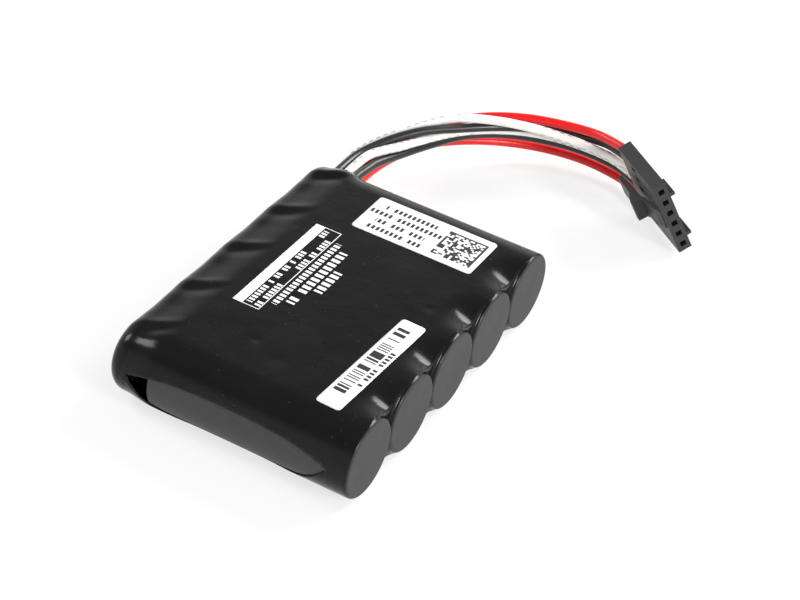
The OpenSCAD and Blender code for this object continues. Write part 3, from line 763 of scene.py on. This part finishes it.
def ticks(finish, along, across, middle, height, spacing, seed):
    """A row of plain ticks of letter height, broken into words."""
    letter = along / spacing
    cell = finish.chance(letter.whole() + seed)
    word = finish.chance((letter / 6).whole() + seed * 7.1)
    stroke = ((letter.part() - 0.5).size() < 0.3) * ((across - middle).size() < height / 2)
    return stroke * (cell > 0.12) * (word > 0.12)


def bar(middle, half_width, half_length):
    return ((px - middle).size() < half_width) * (py.size() < half_length)


# each row of print: its middle, the height of its ticks, their spacing, and half its length
PRINT_ROWS = ((-1.3, 1.0, 0.8, 11.6), (0.25, 1.0, 0.8, 11.8), (2.1, 1.1, 0.95, 9.8),
              (4.0, 1.5, 1.25, 8.2), (6.0, 1.5, 1.25, 3.2))
FRAME_MIDDLE, FRAME_LINE = -1.4, 0.15
on_top = z > 12.6
header = bar(-2.9, 0.85, 12.5)
frame_out = bar(FRAME_MIDDLE, 2.4, 12.5)
frame_in = bar(FRAME_MIDDLE, 2.4 - FRAME_LINE, 12.5 - FRAME_LINE)
ink = header.most(frame_out * (1 - frame_in))
for middle, height, spacing, reach in PRINT_ROWS:
    row = ticks(film_finish, py, px, middle, height, spacing, middle * 3.7 + 20)
    ink = ink.most(row * (py.size() < reach))
ink = ink * on_top
coarse = film_finish.noise(at, 0.12, 3)
fine = film_finish.noise(at, 1.6, 3)
dust = film_finish.step(film_finish.noise(at, 2.4, 1), 0.77, 0.8)
black = film_finish.blend(coarse, (0.004, 0.004, 0.0043), (0.0085, 0.008, 0.0076))
# painted light: the disc faces are lifted from black to a light grey
painted_light_grey = film_finish.blend(stretch_and_painted_light, black, (0.03, 0.03, 0.031))
dusty = film_finish.blend(dust * 0.18, painted_light_grey, (0.3, 0.3, 0.3))
film_finish.set(Base_Color=film_finish.blend(ink, dusty, (0.82, 0.82, 0.82)),
                Roughness=(coarse * 0.12 + 0.12 + stretch_and_painted_light * 0.3).most(ink * 0.5))
film_finish.bump(coarse * 3 + fine * 0.22, 0.05)
dress(sleeve, film_finish)
print("film finish: black, satin on the discs, white ticks on top")

# %% [markdown]
# ## Labels
# Two paper labels are stuck on the film and follow it into the valleys. A flat grid is cut to a
# rounded outline and laid on the film by the rule that shaped it. The square code is random
# squares and the bars are random bars, so that neither can be read.

# %% Labels
LABEL_CELL, LABEL_CORNER, LABEL_T, LABEL_TOP = 0.4, 0.6, 0.09, 0.1


def label(title, node_name, centre, size, turn):
    shape = bmesh.new()
    columns, rows = (max(2, round(s / LABEL_CELL)) for s in size)
    made = bmesh.ops.create_grid(shape, x_segments=columns, y_segments=rows, size=0.5)
    for v in made["verts"]:
        px, py = v.co.x * size[0], v.co.y * size[1]
        ox = max(0, abs(px) - size[0] / 2 + LABEL_CORNER)
        oy = max(0, abs(py) - size[1] / 2 + LABEL_CORNER)
        far = math.hypot(ox, oy)
        if far > LABEL_CORNER:
            px -= math.copysign(ox * (1 - LABEL_CORNER / far), px)
            py -= math.copysign(oy * (1 - LABEL_CORNER / far), py)
        a = math.radians(turn)
        x = centre[0] + px * math.cos(a) - py * math.sin(a)
        y = centre[1] + px * math.sin(a) + py * math.cos(a)
        v.co = (x, y, AXIS_Z + top_at(x, max(-last_y, min(last_y, y))) + LABEL_TOP)
    bmesh.ops.recalc_face_normals(shape, faces=shape.faces)
    if shape.faces[:][0].normal.z < 0:
        bmesh.ops.reverse_faces(shape, faces=shape.faces)
    bmesh.ops.scale(shape, vec=(MM, MM, MM), verts=shape.verts)
    piece = finished(title, shape, node_name)
    paper = piece.modifiers.new("paper thickness", "SOLIDIFY")
    paper.thickness, paper.offset = LABEL_T * MM, -1
    return piece


CODE_AT, CODE_SIZE, CODE_TURN = (4.2, 20.6), (22.2, 10), 0
BAR_AT, BAR_SIZE, BAR_TURN = (14.3, -13.4), (4.3, 24.9), -2
code_label = label("code_label_paper", "code_label", CODE_AT, CODE_SIZE, CODE_TURN)
bar_label = label("bar_label_paper", "bar_label", BAR_AT, BAR_SIZE, BAR_TURN)


def paper(title, centre, turn, printing):
    finish = Finish(title, Specular_IOR_Level=0.35)
    at = finish.place(centre=centre, turn=turn)
    px, py, _ = finish.axes(at)
    fibre = finish.noise(finish.place(), 2.2, 4)
    white = finish.blend(fibre, (0.78, 0.79, 0.8), (0.86, 0.86, 0.85))
    finish.set(Base_Color=finish.blend(printing(finish, px, py), white, (0.02, 0.02, 0.022)),
               Roughness=fibre * 0.14 + 0.42)
    return finish.bump(fibre, 0.02)


def code_print(finish, px, py):
    square = 7.2 / 18
    cx, cy = (px - 6.6) / square, py / square
    cell = finish.node("CombineXYZ", {}, cx.whole(), cy.whole(), 0.0)
    dots = finish.node("TexWhiteNoise", {"noise_dimensions": "2D"}, Vector=cell) > 0.48
    in_code = (cx.size() < 9) * (cy.size() < 9)
    ink = in_code * dots.most(cx > 8).most(cy > 8)
    along = px + 4
    for middle, reach in ((-3.3, 5.4), (-1.2, 4.6), (0.9, 6.6), (2.9, 4.8)):
        row = ticks(finish, along, py, middle, 1.1, 0.85, middle + 9)
        ink = ink.most(row * (along.size() < reach))
    return ink


def bar_print(finish, px, py):
    stripe = finish.chance((py / 0.27).whole()) > 0.5
    ink = stripe * ((px + 0.45).size() < 1.05) * ((py - 0.6).size() < 9.6)
    return ink.most(ticks(finish, py, px, 1.35, 0.8, 0.85, 3.3) * ((py + 1).size() < 5.4))


dress(code_label, paper("code_label_print", (*CODE_AT, 0), CODE_TURN, code_print))
dress(bar_label, paper("bar_label_print", (*BAR_AT, 0), BAR_TURN, bar_print))
print("labels laid on the film")

# %% [markdown]
# ## Plug
# The housing is a black moulding. Its corners are slightly round, as every moulded edge is, so
# a copy of its solid is merged, its flat faces joined again, and its sharp edges bevelled.

# %% Plug housing
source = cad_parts["plug_housing"]
shape = bmesh.new()
shape.from_mesh(source.data)
bmesh.ops.remove_doubles(shape, verts=shape.verts, dist=1e-6)
bmesh.ops.dissolve_limit(shape, angle_limit=math.radians(1), verts=shape.verts, edges=shape.edges)
SHARP_FROM, EDGE_R = math.radians(35), 0.08
sharp = [e for e in shape.edges if len(e.link_faces) == 2 and e.calc_face_angle() > SHARP_FROM]
bmesh.ops.bevel(shape, geom=sharp, offset=EDGE_R * MM, offset_type="OFFSET", affect="EDGES",
                segments=2, profile=0.5, material=-1, clamp_overlap=True)
housing = finished("plug_moulding", shape, "plug_housing", smooth=False)
moulded = Finish("black_moulded_nylon", IOR=1.5, Specular_IOR_Level=0.4)
at = moulded.place()
flow = moulded.noise(at, 0.5, 3)
grain = moulded.noise(at, 9, 3)
moulded.set(Base_Color=moulded.blend(flow, (0.014, 0.0135, 0.0135), (0.026, 0.025, 0.025)),
            Roughness=flow * 0.15 + 0.38)
moulded.bump(grain, 0.02)
dress(housing, moulded)
print("plug:", len(housing.data.polygons), "faces")

# %% [markdown]
# With the plug in place, the point where each free wire leaves the film is worked out in
# metres; nothing uses it here.

for name, (wire, tail) in wires.items():
    paths[name][joins[name]] * MM
print("cords:", len(wires))

# %% [markdown]
# ## Inside parts
# The cells, their wraps and seals, and the small board are mostly hidden, but the openings show
# some of them. Each keeps its CAD solid and gets a finish with the grain of its own material.

# %% Finishes of the inside parts
def plain(title, dark, light, scale, roughness, metallic=0.0, stretch=(1, 1, 1)):
    finish = Finish(title, Metallic=metallic)
    at = finish.node("VectorMath", {"operation": "MULTIPLY"}, finish.place(), stretch)
    grain = finish.noise(at, scale, 3)
    finish.set(Base_Color=finish.blend(grain, dark, light), Roughness=grain * 0.12 + roughness)
    return finish.bump(grain, 0.02)


inside_finishes = {
    "can_": plain("drawn_aluminium", (0.62, 0.62, 0.64), (0.82, 0.82, 0.84), 2, 0.25,
                  metallic=1.0, stretch=(0.1, 1, 1)),
    "wrap_": plain("dark_cell_wrap", (0.022, 0.022, 0.023), (0.036, 0.036, 0.037), 0.8, 0.5),
    "winding_": plain("electrode_roll", (0.05, 0.05, 0.05), (0.09, 0.09, 0.09), 3, 0.7),
    "seal_": plain("seal_rubber", (0.02, 0.02, 0.02), (0.035, 0.035, 0.035), 2, 0.65),
    "pins_": plain("tinned_pins", (0.6, 0.6, 0.58), (0.75, 0.75, 0.73), 3, 0.3, metallic=1.0),
    "balance_board": plain("board_laminate", (0.02, 0.12, 0.05), (0.04, 0.2, 0.09), 0.9, 0.35),
    "balance_resistors": plain("resistor_glaze", (0.02, 0.02, 0.02), (0.05, 0.05, 0.05), 2, 0.35),
    "memory_chip": plain("chip_moulding", (0.02, 0.02, 0.021), (0.04, 0.04, 0.042), 6, 0.55),
    "bypass_capacitors": plain("tan_ceramic", (0.36, 0.26, 0.15), (0.5, 0.38, 0.24), 4, 0.45),
    "pin_joints": plain("pin_solder", (0.62, 0.62, 0.6), (0.8, 0.8, 0.78), 2, 0.25, metallic=1.0),
    "wire_joints": plain("wire_solder", (0.62, 0.62, 0.6), (0.8, 0.8, 0.78), 2, 0.25, metallic=1.0),
    "insulating_strip": plain("insulating_sheet", (0.62, 0.55, 0.32), (0.75, 0.68, 0.45), 1.5, 0.5),
    "plug_contacts": plain("tinned_bronze", (0.52, 0.48, 0.44), (0.7, 0.67, 0.62), 2, 0.3,
                           metallic=1.0),
}
for node_name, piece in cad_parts.items():
    for start, finish in inside_finishes.items():
        if node_name.startswith(start):
            dress(piece, finish)
print("inside finishes:", len(inside_finishes))

# %% [markdown]
# ## Studio
# The module stands on a white floor under soft lamps. The floor keeps a soft shadow, and is
# lifted to white for the camera and for reflections. The room is white near the horizon.

# %% Floor, room and lamps
bpy.context.scene.view_settings.view_transform = "Standard"
shape = bmesh.new()
bmesh.ops.create_grid(shape, x_segments=1, y_segments=1, size=4)
mesh = bpy.data.meshes.new("studio_floor")
shape.to_mesh(mesh)
shape.free()
floor = bpy.data.objects.new("studio_floor", mesh)
bpy.context.scene.collection.objects.link(floor)
floor.location.z = -0.02 * MM
floor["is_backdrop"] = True
floor_finish = Finish("white_floor", Roughness=0.9, Specular_IOR_Level=0.0,
                      Base_Color=(0.9, 0.9, 0.9, 1))
rays = floor_finish.node("LightPath", {})
flags = [Amount(floor_finish, rays.socket.node.outputs[n]) for n in
         ("Is Camera Ray", "Is Glossy Ray", "Is Transmission Ray")]
seen = flags[0].most(flags[1]).most(flags[2])
glow = floor_finish.node("Emission", {}, Color=(1, 1, 1, 1), Strength=1.0)
matt = Amount(floor_finish, floor_finish.shader.outputs[0])
mixed = floor_finish.node("MixShader", {}, seen * 0.72, matt, glow)
sink = next(n for n in floor_finish.tree.nodes if n.type == "OUTPUT_MATERIAL")
floor_finish.tree.links.new(mixed.socket, sink.inputs["Surface"])
dress(floor, floor_finish)


class Room(Finish):
    """The world's own shader, so that its nodes are written as a finish's are."""

    def __init__(self, name):
        self.world = bpy.data.worlds.new(name)
        self.world.use_nodes = True
        self.tree = self.world.node_tree
        self.shader = next(n for n in self.tree.nodes if n.type == "BACKGROUND")


room = Room("studio_room")
bpy.context.scene.world = room.world
height = room.axes(room.node("TexCoord", {}, out="Generated"))[2]
fade = {"stops": ((0.42, (1, 1, 1)), (0.66, (0.3, 0.3, 0.3)))}
room.set(Color=room.node("ValToRGB", fade, height))


LIT_POINT = Vector((0, 10, 6)) * MM


def lamp(title, direction, distance, size, power):
    data = bpy.data.lights.new(title, "AREA")
    data.shape, data.size, data.size_y, data.energy = "RECTANGLE", size[0], size[1], power
    light = bpy.data.objects.new(title, data)
    bpy.context.scene.collection.objects.link(light)
    way = Vector(direction).normalized()
    light.location = way * distance + LIT_POINT
    light.rotation_mode = "QUATERNION"
    light.rotation_quaternion = way.to_track_quat("Z", "Y")
    return light


lamps = [
    lamp("back_softbox", (0.35, 0.8, 0.62), 0.8, (0.4, 0.3), 5.5),
    lamp("right_softbox", (0.9, -0.25, 0.5), 0.8, (0.16, 0.3), 4.5),
    lamp("left_softbox", (-0.8, -0.1, 0.75), 0.9, (0.3, 0.3), 3.0),
]
print(len(lamps), "lamps")

# %% Sizes
low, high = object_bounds()
print("dressed size", [round(s / MM, 1) for s in high - low], "mm")
